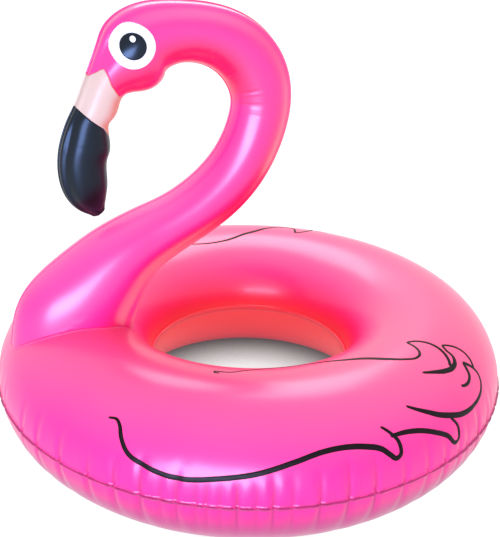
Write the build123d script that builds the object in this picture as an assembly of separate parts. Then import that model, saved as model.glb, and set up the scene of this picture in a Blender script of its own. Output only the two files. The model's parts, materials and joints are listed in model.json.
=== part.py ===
from build123d import *
import math
import os

# Flamingo pool ring, inflated and standing on a level floor.
# Millimetres, +Z up.  The origin is on the floor, on the ring's own axis.
# The bird looks along -X, its left side is -Y and its right side is +Y.

# --- the swim ring -----------------------------------------------------------
RING_MEAN_RADIUS = 421.0  # ring axis to the middle of the air tube
TUBE_HALF_WIDTH = 179.0  # the inflated tube is a little wider than it is tall
TUBE_HALF_HEIGHT = 164.0
REST_BAND_WIDTH = 20.0  # flat band that the tube presses on the floor
FILM = 1.0  # stand-in thickness of the vinyl film
CUT_REACH = 5.0  # how far a cutting form runs past the surface it cuts
WELD_OUTER_WIDTH = 4.0  # welded edge outside the tube at mid-height
WELD_INNER_WIDTH = 3.0  # welded edge that points into the seat hole

# --- neck, head and beak -----------------------------------------------------
# Sections of the neck from its root to the beak's tip.  Each one is
# (forward, up, half depth, half width): the first two place its centre from
# the point on the ring's crown under the neck, the last two are its half axes.
NECK_SECTIONS = [
    (10, -90, 146, 92),
    (-2, -25, 136, 92),
    (-30, 36, 118, 90),
    (-74, 88, 98, 84),
    (-114, 128, 83, 77),
    (-162, 161, 72, 69),
    (-232, 197, 64, 63),
    (-291, 231, 63, 63),
    (-344, 273, 64, 63),
    (-388, 326, 64, 63),
    (-422, 398, 64, 63),
    (-434, 470, 65, 64),
    (-418, 530, 67, 65),
    (-376, 579, 65, 63),
    (-312, 608, 61, 61),
    (-244, 613, 63, 62),
    (-194, 603, 72, 66),
    (-162, 580, 79, 69),
    (-139, 553, 73, 64),
    (-111, 530, 52, 53),
    (-88, 497, 41, 43),
    (-71, 457, 41, 38),
    (-53, 412, 46, 38),
    (-42, 364, 50, 38),
    (-40, 312, 48, 36),
    (-50, 270, 38, 28),
    (-61, 247, 23, 17),
    (-67, 236, 8, 7),
]

# --- colour joints and patches on the head ------------------------------------
# Lines seen from the side, as (forward, up) from the same point.
PALE_JOINT = [(60, 500), (-58, 532), (-76, 543), (-88, 551), (-95, 536), (-101, 517), (-116, 495), (-170, 450)]
BLACK_JOINT = [(30, 525), (-57, 447), (-83, 426), (-95, 406), (-125, 340)]
BEAK_UNDER_LINE = [(-106, 224), (-60, 222), (60, 200)]  # passes between the tip and the neck
EYE_CENTRE = (-145, 596)
EYE_RADIUS = 45.5
PUPIL_RADIUS = 25.8
PATCH_FILM = 0.8  # each welded patch stands this proud of what it lies on

# --- big screw valve on the ring ----------------------------------------------
RING_VALVE_AZIMUTH = 60.0  # degrees from the tail, towards the bird's right
RING_VALVE_RISE = 28.0  # degrees round the tube, up from its outer weld
VALVE_FLANGE_RADIUS = 30.0
VALVE_FLANGE_FILM = 1.5
COLLAR_WALL = 3.0
COLLAR_DEPTH = 10.0  # reach of the collar inside the tube
COLLAR_HEIGHT = 5.0
SCREW_RADIUS = 16.0  # screw body below its rim
SCREW_DEPTH = 13.0
RUN_GAP = 0.3  # clearance between pieces that turn, slide or swing
SEAL_THICKNESS = 1.2
RIM_OVERHANG = 1.7  # reach of the rim past the collar
RIM_THICKNESS = 2.4
MOUTH_RADIUS = 10.0
SPIGOT_WALL = 2.5
SPIGOT_HEIGHT = 4.0
SEAT_LEVEL = 1.0  # top of the web that the check flap closes
SEAT_THICKNESS = 2.0
SEAT_HOLE_RADIUS = 8.0
SPOKE_WIDTH = 1.6
SKIRT_WALL = 2.0
FLAP_OVERLAP = 1.5  # reach of the flap past its seat hole
FLAP_THICKNESS = 0.8
STRAP_WIDTH = 2.5
CAP_WALL = 2.0
CAP_TOP_THICKNESS = 2.0
CAP_TOP_GAP = 0.6
TONGUE_WIDTH = 9.0
TONGUE_THICKNESS = 1.5
TAB_LENGTH = 6.0

# --- small push-in valve on the neck ------------------------------------------
NECK_VALVE_POINT = (-130, 140)  # (forward, up) from the ring's crown
STEM_FLANGE_RADIUS = 17.0
STEM_FLANGE_FILM = 1.2
STEM_COLLAR_WALL = 1.7
STEM_COLLAR_DEPTH = 6.0
STEM_RADIUS = 6.5
STEM_BORE_RADIUS = 3.2
STEM_HEIGHT = 9.0
STEM_DEPTH = 12.0
STEM_TAB_THICKNESS = 1.2
STEM_FLAP_OVERLAP = 1.3
STEM_FLAP_THICKNESS = 0.8
PLUG_HEAD_RADIUS = 5.5
PLUG_HEAD_THICKNESS = 1.6
PLUG_LENGTH = 4.0
PLUG_TAPER = 0.6
PLUG_HINGE_REACH = 12.0
PLUG_TONGUE_WIDTH = 4.0
PLUG_TAB_LENGTH = 4.0

# --- places worked out from the sizes above -----------------------------------
RING_MID_HEIGHT = TUBE_HALF_HEIGHT * math.sqrt(1 - (REST_BAND_WIDTH / 2 / TUBE_HALF_WIDTH) ** 2)
RING_CROWN = RING_MID_HEIGHT + TUBE_HALF_HEIGHT
COLLAR_BORE = SCREW_RADIUS + RUN_GAP
COLLAR_RADIUS = COLLAR_BORE + COLLAR_WALL
RIM_RADIUS = COLLAR_RADIUS + RIM_OVERHANG
SEAL_TOP = COLLAR_HEIGHT + SEAL_THICKNESS
RIM_TOP = SEAL_TOP + RIM_THICKNESS
SPIGOT_RADIUS = MOUTH_RADIUS + SPIGOT_WALL
SEAT_UNDERSIDE = SEAT_LEVEL - SEAT_THICKNESS
FLAP_RADIUS = SEAT_HOLE_RADIUS + FLAP_OVERLAP
CAP_BORE = SPIGOT_RADIUS + RUN_GAP
CAP_RADIUS = CAP_BORE + CAP_WALL
CAP_FOOT = RIM_TOP + RUN_GAP
CAP_INSIDE = RIM_TOP + SPIGOT_HEIGHT + CAP_TOP_GAP
CAP_TOP = CAP_INSIDE + CAP_TOP_THICKNESS
CAP_HINGE_REACH = RIM_RADIUS + STRAP_WIDTH + 1
STEM_COLLAR_BORE = STEM_RADIUS + RUN_GAP
STEM_COLLAR_RADIUS = STEM_COLLAR_BORE + STEM_COLLAR_WALL
STEM_FLAP_RADIUS = STEM_BORE_RADIUS + STEM_FLAP_OVERLAP


def save(node, shape):
    """Write one node of the float."""
    shape.label = node
    export_step(shape, f"parts/{node}.step")


# --- turned shapes about a valve's own axis -----------------------------------
def disc(radius, low, high):
    """A round plug between two heights on the axis."""
    return Pos(0, 0, (low + high) / 2) * Cylinder(radius, high - low)


def tube(outer, inner, low, high):
    """A round tube between two heights on the axis."""
    return disc(outer, low, high) - disc(inner, low - 1, high + 1)


def bar(x_low, x_high, width, low, high):
    """A straight bar along the valve's own X."""
    middle = Pos((x_low + x_high) / 2, 0, (low + high) / 2)
    return middle * Box(x_high - x_low, width, high - low)


# --- ring ---------------------------------------------------------------------
def tube_section(grow):
    """The tube's oval section in the XZ plane, grown outwards by a distance."""
    centre = Plane((RING_MEAN_RADIUS, 0, RING_MID_HEIGHT), x_dir=(1, 0, 0), z_dir=(0, -1, 0))
    return centre * Ellipse(TUBE_HALF_WIDTH + grow, TUBE_HALF_HEIGHT + grow)


def tube_solid(grow=0.0):
    """The whole tube as if it were filled, for cutting other pieces to it."""
    return revolve(tube_section(grow), Axis.Z)


def section_box(inner, outer, low, high):
    """A rectangle of the XZ plane between two radii and two heights."""
    centre = Plane(((inner + outer) / 2, 0, (low + high) / 2), x_dir=(1, 0, 0), z_dir=(0, -1, 0))
    return centre * Rectangle(outer - inner, high - low)


def ring_panel(upper):
    """Upper or lower half of the ring's film, with its two welded edges."""
    side = 1 if upper else -1
    edge = RING_MID_HEIGHT
    reach = TUBE_HALF_WIDTH + WELD_OUTER_WIDTH + WELD_INNER_WIDTH
    far = edge + side * (TUBE_HALF_HEIGHT + FILM)
    low = max(min(edge, far), 0)
    high = max(edge, far)
    wall = tube_section(0) - tube_section(-FILM)
    wall = wall & section_box(RING_MEAN_RADIUS - reach, RING_MEAN_RADIUS + reach, low, high)
    flange_low = min(edge, edge + side * FILM)
    flange_high = max(edge, edge + side * FILM)
    outside = RING_MEAN_RADIUS + TUBE_HALF_WIDTH
    inside = RING_MEAN_RADIUS - TUBE_HALF_WIDTH
    outer_weld = section_box(outside - FILM, outside + WELD_OUTER_WIDTH, flange_low, flange_high)
    inner_weld = section_box(inside - WELD_INNER_WIDTH, inside + FILM, flange_low, flange_high)
    return revolve(wall + outer_weld + inner_weld, Axis.Z)


# --- neck ---------------------------------------------------------------------
def place(forward, up, side=0.0):
    """A point measured forward and up from the ring's crown under the neck."""
    return Vector(-RING_MEAN_RADIUS - forward, side, RING_CROWN + up)


def neck_planes():
    """One plane for each neck section, square to the line of the neck."""
    centres = [place(forward, up) for forward, up, _, _ in NECK_SECTIONS]
    planes = []
    for index, centre in enumerate(centres):
        before = centres[max(index - 1, 0)]
        after = centres[min(index + 1, len(centres) - 1)]
        along = Vector(0, 0, 1) if index == 0 else (after - before).normalized()
        planes.append(Plane(centre, x_dir=(0, -1, 0), z_dir=along))
    return planes


def half_oval(width, depth, past_middle):
    """Right half of a neck section, reaching a little past the middle plane if asked."""
    turns = [math.radians(angle) for angle in range(-90, 91, 30)]
    points = [(-width * math.cos(turn), depth * math.sin(turn)) for turn in turns]
    arc = Spline(*points, tangents=[(-1, 0), (1, 0)])
    corners = [(0, depth), (0, -depth)]
    if past_middle:
        corners = [(0, depth), (past_middle, depth), (past_middle, -depth), (0, -depth)]
    return make_face([arc, Polyline(*corners)])


def neck_half(grow=0.0, past_middle=0.0):
    """Right half of neck, head and beak as one filled form, grown outwards by a distance."""
    planes = neck_planes()
    planes[-1] = planes[-1].offset(grow)
    sections = []
    for plane, (_, _, depth, width) in zip(planes, NECK_SECTIONS):
        sections.append(plane * half_oval(width + grow, depth + grow, past_middle))
    return loft(sections)


def side_region(points):
    """A closed outline of the side view, pushed through the whole head."""
    corners = [place(forward, up) for forward, up in points]
    face = make_face(Polyline(*corners, close=True))
    return extrude(face, amount=RING_MEAN_RADIUS, dir=(0, 1, 0), both=True)


def neck_film():
    """Right half of the neck's film, from the ring's skin to the beak's tip."""
    return neck_half() - neck_half(-FILM, CUT_REACH) - tube_solid()


def face_patches():
    """White disc and black pupil of the right eye, each lying on what is under it."""
    centre = place(*EYE_CENTRE)
    axis = Plane(centre, x_dir=(1, 0, 0), z_dir=(0, 1, 0))
    reach = NECK_SECTIONS[0][2]
    white_cutter = axis * disc(EYE_RADIUS, 0, reach)
    pupil_cutter = axis * disc(PUPIL_RADIUS, 0, reach)
    white = (neck_half(PATCH_FILM) & white_cutter) - neck_half()
    pupil = (neck_half(2 * PATCH_FILM) & pupil_cutter) - neck_half(PATCH_FILM)
    return white, pupil


# --- the ring's screw valve ----------------------------------------------------
def ring_valve_seat():
    """Plane on the ring's skin with +Z straight out of the film."""
    rise = math.radians(RING_VALVE_RISE)
    turn = math.radians(RING_VALVE_AZIMUTH)
    radius = RING_MEAN_RADIUS + TUBE_HALF_WIDTH * math.cos(rise)
    height = RING_MID_HEIGHT + TUBE_HALF_HEIGHT * math.sin(rise)
    out = math.cos(rise) / TUBE_HALF_WIDTH
    lift = math.sin(rise) / TUBE_HALF_HEIGHT
    outward = Vector(math.cos(turn) * out, math.sin(turn) * out, lift).normalized()
    point = Vector(math.cos(turn) * radius, math.sin(turn) * radius, height)
    along_ring = Vector(-math.sin(turn), math.cos(turn), 0)
    return Plane(point, x_dir=along_ring, z_dir=outward)


def ring_valve_base(seat):
    """Flange that follows the film, with the collar that the screw body turns in."""
    reach = VALVE_FLANGE_RADIUS
    skin = tube_solid(VALVE_FLANGE_FILM) & seat * disc(reach, -reach, reach)
    flange = skin - tube_solid()
    collar = seat * disc(COLLAR_RADIUS, -COLLAR_DEPTH, COLLAR_HEIGHT)
    bore = seat * disc(COLLAR_BORE, -reach, reach)
    return flange + collar - bore


def ring_valve_seal():
    """Flat rubber washer between the collar and the screw body's rim."""
    return tube(COLLAR_RADIUS, COLLAR_BORE, COLLAR_HEIGHT, SEAL_TOP)


def ring_valve_body():
    """Screw body: spigot, rim, shank, flap seat with its spokes, and skirt."""
    spigot = tube(SPIGOT_RADIUS, MOUTH_RADIUS, SEAT_LEVEL, RIM_TOP + SPIGOT_HEIGHT)
    rim = tube(RIM_RADIUS, MOUTH_RADIUS, SEAL_TOP, RIM_TOP)
    shank = tube(SCREW_RADIUS, SCREW_RADIUS - SKIRT_WALL, -SCREW_DEPTH, SEAL_TOP)
    web = tube(SCREW_RADIUS, SEAT_HOLE_RADIUS, SEAT_UNDERSIDE, SEAT_LEVEL)
    spoke = bar(-SEAT_HOLE_RADIUS, SEAT_HOLE_RADIUS, SPOKE_WIDTH, SEAT_UNDERSIDE, SEAT_LEVEL)
    return spigot + rim + shank + web + spoke + Rot(0, 0, 90) * spoke


def ring_valve_flap():
    """Silicone disc that rests against the seat and opens into the ring."""
    return disc(FLAP_RADIUS, SEAT_UNDERSIDE - FLAP_THICKNESS, SEAT_UNDERSIDE)


def ring_valve_strap():
    """Band clipped round the rim, with the lug that carries the cap's living hinge."""
    band = tube(RIM_RADIUS + STRAP_WIDTH, RIM_RADIUS, SEAL_TOP, RIM_TOP)
    lug = bar(RIM_RADIUS, CAP_HINGE_REACH, TONGUE_WIDTH, SEAL_TOP, RIM_TOP)
    return band + lug - disc(RIM_RADIUS, SEAL_TOP - 1, RIM_TOP + 1)


def ring_valve_cap():
    """Cup that closes over the spigot, with its hinge tongue and finger tab."""
    cup = disc(CAP_RADIUS, CAP_FOOT, CAP_TOP)
    foot = CAP_FOOT + TONGUE_THICKNESS
    tongue = bar(0, CAP_HINGE_REACH, TONGUE_WIDTH, CAP_FOOT, foot)
    tab = bar(-CAP_RADIUS - TAB_LENGTH, 0, TONGUE_WIDTH, CAP_FOOT, foot)
    return cup + tongue + tab - disc(CAP_BORE, CAP_FOOT - 1, CAP_INSIDE)


# --- the neck's push-in valve ---------------------------------------------------
def neck_valve_seat():
    """Plane on the right side of the neck with +Z straight out of the film."""
    start = place(*NECK_VALVE_POINT)
    line = Axis(start, (0, 1, 0))
    hits = neck_half().find_intersection_points(line)
    point, outward = max(hits, key=lambda hit: hit[0].Y)
    return Plane(point, x_dir=(0, 0, 1), z_dir=outward)


def neck_valve_base(seat):
    """Flange that follows the neck's film, with the collar that guides the stem."""
    reach = STEM_FLANGE_RADIUS
    skin = neck_half(STEM_FLANGE_FILM) & seat * disc(reach, -reach, reach)
    flange = skin - neck_half()
    collar = seat * disc(STEM_COLLAR_RADIUS, -STEM_COLLAR_DEPTH, STEM_FLANGE_FILM)
    return flange + collar - seat * disc(STEM_COLLAR_BORE, -reach, reach)


def neck_valve_stem():
    """Soft inflation stem with a side lug for the plug's tether."""
    stem = disc(STEM_RADIUS, -STEM_DEPTH, STEM_HEIGHT)
    lug_low = STEM_HEIGHT - STEM_TAB_THICKNESS
    lug = bar(0, PLUG_HINGE_REACH, PLUG_TONGUE_WIDTH, lug_low, STEM_HEIGHT)
    return stem + lug - disc(STEM_BORE_RADIUS, -STEM_DEPTH - 1, STEM_HEIGHT + 1)


def neck_valve_flap():
    """Small silicone disc that closes the stem's inner end."""
    return disc(STEM_FLAP_RADIUS, -STEM_DEPTH - STEM_FLAP_THICKNESS, -STEM_DEPTH)


def neck_valve_plug():
    """Plug with a tapered nose, a tether tongue and a finger tab."""
    foot = STEM_HEIGHT + RUN_GAP
    top = foot + PLUG_HEAD_THICKNESS
    head = disc(PLUG_HEAD_RADIUS, foot, top)
    tongue = bar(0, PLUG_HINGE_REACH, PLUG_TONGUE_WIDTH, foot, top)
    tab = bar(-PLUG_HEAD_RADIUS - PLUG_TAB_LENGTH, 0, PLUG_TONGUE_WIDTH, foot, top)
    nose_radius = STEM_BORE_RADIUS - RUN_GAP
    nose = Cone(nose_radius - PLUG_TAPER, nose_radius, PLUG_LENGTH)
    return head + tongue + tab + Pos(0, 0, foot - PLUG_LENGTH / 2) * nose


# --- build and write every node --------------------------------------------------
def build_ring_valve():
    """Write the ring's valve, and return the hole that its collar needs."""
    seat = ring_valve_seat()
    save("ring_valve_base", ring_valve_base(seat))
    save("ring_valve_seal", seat * ring_valve_seal())
    save("ring_valve_body", seat * ring_valve_body())
    save("ring_valve_flap", seat * ring_valve_flap())
    save("ring_valve_strap", seat * ring_valve_strap())
    save("ring_valve_cap", seat * ring_valve_cap())
    print("ring valve", seat)
    return seat * disc(COLLAR_RADIUS + RUN_GAP, -VALVE_FLANGE_RADIUS, VALVE_FLANGE_RADIUS)


def build_neck_valve():
    """Write the neck's valve, and return the hole that its collar needs."""
    seat = neck_valve_seat()
    save("neck_valve_base", neck_valve_base(seat))
    save("neck_valve_stem", seat * neck_valve_stem())
    save("neck_valve_flap", seat * neck_valve_flap())
    save("neck_valve_plug", seat * neck_valve_plug())
    print("neck valve", seat)
    return seat * disc(STEM_COLLAR_RADIUS + RUN_GAP, -STEM_FLANGE_RADIUS, STEM_FLANGE_RADIUS)


def build_ring(valve_hole):
    """Write the two halves of the ring's film."""
    save("ring_upper_panel", ring_panel(True) - valve_hole)
    save("ring_lower_panel", ring_panel(False))


def save_both_sides(name, right_piece):
    """Write a piece of the bird's right side and its mirror on the left."""
    save(f"{name}_right", right_piece)
    save(f"{name}_left", mirror(right_piece, Plane.XZ))


def build_neck(valve_hole):
    """Write the neck, beak and eye pieces of both sides."""
    beak_region = side_region(PALE_JOINT + BEAK_UNDER_LINE)
    tip_region = side_region(BLACK_JOINT + BEAK_UNDER_LINE)
    film = neck_film()
    beak = film & beak_region
    panel = film - beak_region
    save("neck_panel_right", panel - valve_hole)
    save("neck_panel_left", mirror(panel, Plane.XZ))
    save_both_sides("beak_base", beak - tip_region)
    save_both_sides("beak_tip", beak & tip_region)
    white, pupil = face_patches()
    save_both_sides("eye_white", white)
    save_both_sides("eye_pupil", pupil)


if __name__ == "__main__":
    os.makedirs("parts", exist_ok=True)
    build_ring(build_ring_valve())
    build_neck(build_neck_valve())
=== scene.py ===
# %% [markdown]
# # Flamingo pool float
# A big swim ring of thin PVC film, with a flamingo's neck and head welded on at the front.
# Everything on the real thing is a bag of air: flat sheets are welded along their edges, and the
# air pulls them round.  The pieces are therefore smooth tubes, and what makes them look real is
# what the welds do to the film: narrow flat edges, rows of small puckers and faint creases.
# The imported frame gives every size.  This file only works out surfaces around it.

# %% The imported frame
import json
import math

import bpy
import numpy as np
from mathutils import Matrix, Vector
from mathutils.bvhtree import BVHTree


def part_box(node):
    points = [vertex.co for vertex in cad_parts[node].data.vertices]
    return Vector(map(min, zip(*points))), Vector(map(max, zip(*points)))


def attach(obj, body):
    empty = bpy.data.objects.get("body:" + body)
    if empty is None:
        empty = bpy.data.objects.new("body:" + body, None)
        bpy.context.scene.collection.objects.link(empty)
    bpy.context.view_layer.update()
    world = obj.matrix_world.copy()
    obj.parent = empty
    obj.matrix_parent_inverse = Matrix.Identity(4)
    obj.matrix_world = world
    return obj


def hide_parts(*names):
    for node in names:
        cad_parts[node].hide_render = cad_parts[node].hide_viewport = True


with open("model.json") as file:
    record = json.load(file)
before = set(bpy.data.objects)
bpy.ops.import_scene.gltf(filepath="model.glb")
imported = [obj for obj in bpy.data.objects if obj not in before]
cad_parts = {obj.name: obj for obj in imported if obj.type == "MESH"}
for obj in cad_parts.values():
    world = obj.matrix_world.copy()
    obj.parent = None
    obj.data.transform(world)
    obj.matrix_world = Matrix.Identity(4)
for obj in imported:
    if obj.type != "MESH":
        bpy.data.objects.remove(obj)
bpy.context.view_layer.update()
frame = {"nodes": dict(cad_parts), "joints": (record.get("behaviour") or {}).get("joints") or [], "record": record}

# %% [markdown]
# ## Sizes
# The ring is an oval air tube swept round a circle.  Four numbers describe it: the circle's
# radius, the height of the weld line, and the oval's two half axes.  All four are read from the
# frame, so the film follows the CAD part if its sizes change.

# %% Sizes of the ring
MM = 0.001
WELD_EDGE = 4 * MM  # the outer weld stands this far out of the tube
INNER_WELD_EDGE = 3 * MM
mounts = {mount["name"]: mount for mount in frame["record"]["mounts"]}
weld_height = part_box("ring_upper_panel")[0].z
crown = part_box("ring_upper_panel")[1].z
ring_radius = mounts["rest_band"]["pos_m"][0]
tube_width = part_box("ring_upper_panel")[1].x - WELD_EDGE - ring_radius
tube_height = crown - weld_height
print("ring radius", round(ring_radius, 4), "tube half axes", round(tube_width, 4), round(tube_height, 4))

# %% Where the two valves go through the film
pump_mouth = mounts["pump_mouth"]
ring_valve_place = np.array(pump_mouth["pos_m"])
ring_valve_axis = np.array(pump_mouth["axis"])
neck_valve_place = np.array(sum(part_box("neck_valve_base"), Vector())) / 2
neck_valve_axis = next(np.array(j["axis"]) for j in frame["joints"] if j["name"] == "neck_valve_press")
VALVE_NEAR = 60 * MM  # what is further along a valve's line is another part of the float
print("ring valve", ring_valve_place.round(3), "neck valve", neck_valve_place.round(3))


def distance_to_line(points, place, axis):
    """How far each point is from the line through a valve, on the valve's own side."""
    along = (points - place) @ axis
    across = np.linalg.norm(points - place - along[..., None] * axis, axis=-1)
    return np.where(np.abs(along) < VALVE_NEAR, across, 1.0)


# %% [markdown]
# ## The shape of the ring's film
# A flat ring of film is too long for the outer weld once the tube is round, so the spare length
# gathers there in short furrows square to the weld.  They could be simulated as cloth with
# pressure, but that is slow and puts them anywhere.  A formula is quicker and gives each furrow its
# own place, depth and reach: a narrow valley between two low shoulders, fading to nothing round
# the tube.  Every piece that lies on the ring uses this same formula, so nothing floats or sinks.

# %% Puckers along the outer weld
# Degrees round the ring from the tail, along the bird's left side at the front, and how deep
# each furrow is against the others.  The rest of the ring is filled in by chance.
LEFT_PUCKERS = [
    (200.0, 0.5), (206.0, 0.6), (213.0, 0.7), (220.5, 0.7), (226.5, 0.8), (232.0, 0.9), (236.0, 0.5),
    (239.0, 0.8), (242.5, 0.5), (244.5, 0.6), (247.0, 0.5), (250.0, 1.0), (253.5, 0.5), (256.5, 0.9),
    (260.0, 0.5), (265.0, 0.9), (270.5, 0.9), (276.0, 0.9), (282.5, 0.6), (288.5, 0.5), (293.5, 0.6),
]
chance = np.random.default_rng(7)
puckers = [(place, depth, chance.uniform(0.75, 1.25)) for place, depth in LEFT_PUCKERS]
place = 298.0
while place < 560 - 5:
    puckers.append((place % 360, chance.uniform(0.35, 0.9), chance.uniform(0.6, 1.3)))
    place += chance.uniform(3.0, 7.5)
print("puckers", len(puckers))

PUCKER_DEPTH = 5.2 * MM
PUCKER_WIDTH = 0.42  # degrees, half the width of a furrow's floor
PUCKER_RISE = 30.0  # degrees that a furrow reaches up the tube
PUCKER_DROP = 46.0  # degrees that it reaches down
SHOULDER_WIDTH, SHOULDER_HEIGHT = 2.6, 0.45  # against the valley between the shoulders
FOLD_WIDTH = 0.21  # degrees, half the width of the sharp fold in a furrow's floor
FOLD_RISE, FOLD_DROP = 0.75 * PUCKER_RISE, 1.3 * PUCKER_DROP
VALVE_CALM = 40 * MM  # smooth film this close to the valve, and full puckers at twice that
WELD_SWELL = 0.5 * MM  # slow waves of the film along the weld
SWELL_REACH = 25.0  # degrees over the tube


def pucker_height(around, over):
    """How far the film stands out (+) or in (-) at angles round the ring and over its tube."""
    height = np.zeros(np.broadcast(around, over).shape)
    for place, depth, reach in puckers:
        away = (around - place + 180) % 360 - 180
        length = np.where(over > 0, PUCKER_RISE, PUCKER_DROP) * reach
        fade = np.clip(1 - (over / length) ** 2, 0, 1) ** 2
        width = PUCKER_WIDTH * (1 + 1.2 * np.abs(over) / PUCKER_RISE)
        valley = np.exp(-((away / width) ** 2) / 2)
        shoulder = np.exp(-((away / width / SHOULDER_WIDTH) ** 2) / 2)
        height -= depth * fade * (valley - SHOULDER_HEIGHT * shoulder)
    near_weld = np.exp(-((over / SWELL_REACH) ** 2))
    swell = np.sin(np.radians(around * 11 + 40)) + 0.7 * np.sin(np.radians(around * 23 + 100))
    return PUCKER_DEPTH * height + WELD_SWELL * near_weld * swell


def fold_line(around, over):
    """How strongly the film is folded sharply, 0 to 1, at angles round the ring and over its tube."""
    line = np.zeros(np.broadcast(around, over).shape)
    for place, depth, reach in puckers:
        away = (around - place + 180) % 360 - 180
        length = np.where(over > 0, FOLD_RISE, FOLD_DROP) * reach
        fade = np.clip(1 - (over / length) ** 2, 0, 1)
        line += depth * fade * np.exp(-((away / FOLD_WIDTH) ** 2) / 2)
    return np.clip(line, 0, 1)


def tube_point(around, over, out=0.0):
    """A point of the plain oval tube, moved out along the surface's own direction."""
    a, o = np.radians(around), np.radians(over)
    slant = np.stack([np.cos(o) / tube_width, np.sin(o) / tube_height])
    slant = slant / np.linalg.norm(slant, axis=0)
    radius = ring_radius + tube_width * np.cos(o) + out * slant[0]
    height = weld_height + tube_height * np.sin(o) + out * slant[1]
    radius, height, a = np.broadcast_arrays(radius, height, a)
    return np.stack([radius * np.cos(a), radius * np.sin(a), np.maximum(height, 0)], axis=-1)


def ring_angles(points):
    """Degrees round the ring and over its tube for points near the film."""
    flat = np.hypot(points[..., 0], points[..., 1]) - ring_radius
    over = np.degrees(np.arctan2((points[..., 2] - weld_height) / tube_height, flat / tube_width))
    return np.degrees(np.arctan2(points[..., 1], points[..., 0])), over


def ring_point(around, over, lift=0.0):
    """A point of the puckered film, or of something that lies on it."""
    out = pucker_height(around, over)
    clear = distance_to_line(tube_point(around, over), ring_valve_place, ring_valve_axis)
    out = out * np.clip((clear - VALVE_CALM) / VALVE_CALM, 0, 1)
    return tube_point(around, over, out + lift)


# %% [markdown]
# ## Turning rows of points into film
# Most pieces here are a grid: rows of points that follow the piece, each row closed or open.
# A grid keeps the edge lines along the real film's welds, which shades far better than a remeshed
# blob, and one helper builds them all.  The film's thickness is added by Solidify.

# %% Grid helper
def add_piece(name, points, faces, finish, slot, body="float"):
    """A smoothly shaded mesh piece in the row frame that rides on a CAD body."""
    mesh = bpy.data.meshes.new(name)
    mesh.from_pydata([tuple(p) for p in np.asarray(points, float).reshape(-1, 3)], [], faces)
    mesh.validate()
    mesh.polygons.foreach_set("use_smooth", [True] * len(mesh.polygons))
    piece = bpy.data.objects.new(name, mesh)
    bpy.context.scene.collection.objects.link(piece)
    mesh.materials.append(finish)
    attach(piece, body)
    print(name, len(mesh.vertices), "points")
    return piece


def grid_faces(rows, columns, wrap_columns, wrap_rows=False, flip=False):
    """Four-cornered faces between neighbouring rows and columns."""
    faces = []
    for row in range(rows if wrap_rows else rows - 1):
        for column in range(columns if wrap_columns else columns - 1):
            near, far = row * columns, (row + 1) % rows * columns
            right = (column + 1) % columns
            face = (near + column, near + right, far + right, far + column)
            faces.append(face[::-1] if flip else face)
    return faces


def used_points(points, faces):
    """Leave out the points that no face uses."""
    used = np.unique([i for face in faces for i in face])
    renumber = np.zeros(len(points), int)
    renumber[used] = np.arange(len(used))
    return points[used], [tuple(int(renumber[i]) for i in face) for face in faces]


def cut_hole(points, faces, place, axis, radius):
    """Leave out what is inside a valve's hole, and round the hole's edge."""
    clear = distance_to_line(points, place, axis)
    faces = np.array(faces)
    faces = faces[clear[faces].min(axis=1) > radius]
    edge = (clear > radius) & (clear < radius * 1.5) & np.isin(np.arange(len(points)), faces)
    ends = np.bincount(faces.ravel(), minlength=len(points)) < 4
    move = edge & ends
    foot = place + ((points[move] - place) @ axis)[:, None] * axis
    points[move] = foot + (points[move] - foot) * (radius / clear[move])[:, None]
    print("hole for a valve:", int(move.sum()), "points on its edge")
    return used_points(points, faces)


def thicken(piece, thickness):
    """Give a sheet its thickness, inwards."""
    film = piece.modifiers.new("film", "SOLIDIFY")
    film.thickness = thickness
    film.offset = -1
    return piece


# %% [markdown]
# ## Shader arithmetic
# A finish is a graph of nodes.  Written as plain expressions it is far easier to read, so one
# small class wraps a node's output and turns +, - and * into Math nodes.  Colours and vectors
# keep to Mix and Vector Math nodes, because a Math node would turn a colour grey.

# %% Signal and Finish
class Signal:
    """One output of a node, with arithmetic that adds Math nodes."""

    def __init__(self, finish, socket):
        self.finish, self.socket = finish, socket

    def math(self, operation, *values, clamp=False):
        settings = {"operation": operation, "use_clamp": clamp}
        return self.finish.node("ShaderNodeMath", settings, dict(enumerate(values)))

    def __add__(self, other):
        return self.math("ADD", self, other)

    def __radd__(self, other):
        return self.math("ADD", other, self)

    def __sub__(self, other):
        return self.math("SUBTRACT", self, other)

    def __rsub__(self, other):
        return self.math("SUBTRACT", other, self)

    def __mul__(self, other):
        return self.math("MULTIPLY", self, other)

    def __rmul__(self, other):
        return self.math("MULTIPLY", other, self)

    def clamp(self):
        return self.math("ADD", self, 0.0, clamp=True)

    def power(self, exponent):
        return self.math("POWER", self.clamp(), exponent)


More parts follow.
